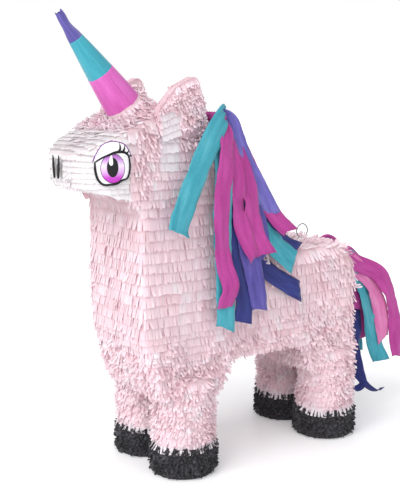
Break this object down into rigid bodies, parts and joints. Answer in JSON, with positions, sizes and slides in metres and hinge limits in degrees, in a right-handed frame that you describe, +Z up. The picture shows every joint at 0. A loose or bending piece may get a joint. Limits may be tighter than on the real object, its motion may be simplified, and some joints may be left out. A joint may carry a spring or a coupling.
{
  "type": "unicorn pinata",
  "caption": "Free-standing unicorn pinata: card shell on four tube legs, tissue fringe, paper horn, crepe streamer mane and tail, hinged fill flap and wire hanging loop.",
  "frame": {"origin": "on the floor, under the middle of the whole object's box", "axes": "+Z up, -Y the way the unicorn faces, +X its left side"},
  "size_m": [0.1675, 0.5345, 0.5603],
  "materials": {
    "card": "matte",
    "dowel_wood": "matte",
    "steel_wire": "satin",
    "pink_tissue": "matte",
    "white_tissue": "matte",
    "black_tissue": "matte",
    "horn_paper": "matte",
    "magenta_crepe": "matte",
    "teal_crepe": "matte",
    "purple_crepe": "matte",
    "blue_crepe": "matte",
    "pink_crepe": "matte",
    "eye_print": "satin",
    "black_print": "satin"
  },
  "bodies": {
    "shell": {"left_side_panel": "card", "right_side_panel": "card", "muzzle_band": "card", "jaw_strip": "card", "chest_strip": "card", "belly_strip": "card", "rump_strip": "card", "back_strip": "card", "nape_strip": "card", "crown_strip": "card", "back_plate": "card", "hanger_dowel": "dowel_wood", "front_left_leg_tube": "card", "front_right_leg_tube": "card", "rear_left_leg_tube": "card", "rear_right_leg_tube": "card", "front_left_hoof_disc": "card", "front_right_hoof_disc": "card", "rear_left_hoof_disc": "card", "rear_right_hoof_disc": "card", "front_left_leg_tissue": "pink_tissue", "front_right_leg_tissue": "pink_tissue", "rear_left_leg_tissue": "pink_tissue", "rear_right_leg_tissue": "pink_tissue", "front_left_hoof_tissue": "black_tissue", "front_right_hoof_tissue": "black_tissue", "rear_left_hoof_tissue": "black_tissue", "rear_right_hoof_tissue": "black_tissue", "body_tissue": "pink_tissue", "neck_tissue": "pink_tissue", "head_tissue": "pink_tissue", "muzzle_tissue": "white_tissue", "horn_cone": "horn_paper", "horn_magenta_wrap": "magenta_crepe", "horn_teal_wrap": "teal_crepe", "horn_purple_wrap": "purple_crepe", "left_ear_card": "card", "right_ear_card": "card", "left_ear_tissue": "pink_tissue", "right_ear_tissue": "pink_tissue", "left_eye_sticker": "eye_print", "right_eye_sticker": "eye_print", "nostril_stickers": "black_print", "mane_tie": "magenta_crepe", "mane_teal_streamers": "teal_crepe", "mane_magenta_streamers": "magenta_crepe", "mane_purple_streamers": "purple_crepe", "mane_blue_streamers": "blue_crepe"},
    "fill_flap": {"fill_flap": "card", "fill_flap_tissue": "pink_tissue"},
    "hanging_loop": {"hanger_loop": "steel_wire"},
    "tail": {"tail_tie": "magenta_crepe", "tail_magenta_streamers": "magenta_crepe", "tail_pink_streamers": "pink_crepe", "tail_teal_streamers": "teal_crepe", "tail_blue_streamers": "blue_crepe"}
  },
  "joints": [
    {"name": "fill_flap_hinge", "type": "hinge", "parent": "shell", "child": "fill_flap", "pos_m": [0, 0.074, 0.268], "axis": [-1, 0, 0], "range_deg": [0, 90]},
    {"name": "hanging_loop_swing", "type": "hinge", "parent": "shell", "child": "hanging_loop", "pos_m": [0, 0.091, 0.2527], "axis": [1, 0, 0], "range_deg": [0, 38]},
    {"name": "tail_lift", "type": "hinge", "parent": "shell", "child": "tail", "pos_m": [0, 0.14701, 0.25661], "axis": [1, 0, 0], "range_deg": [0, 50]}
  ]
}
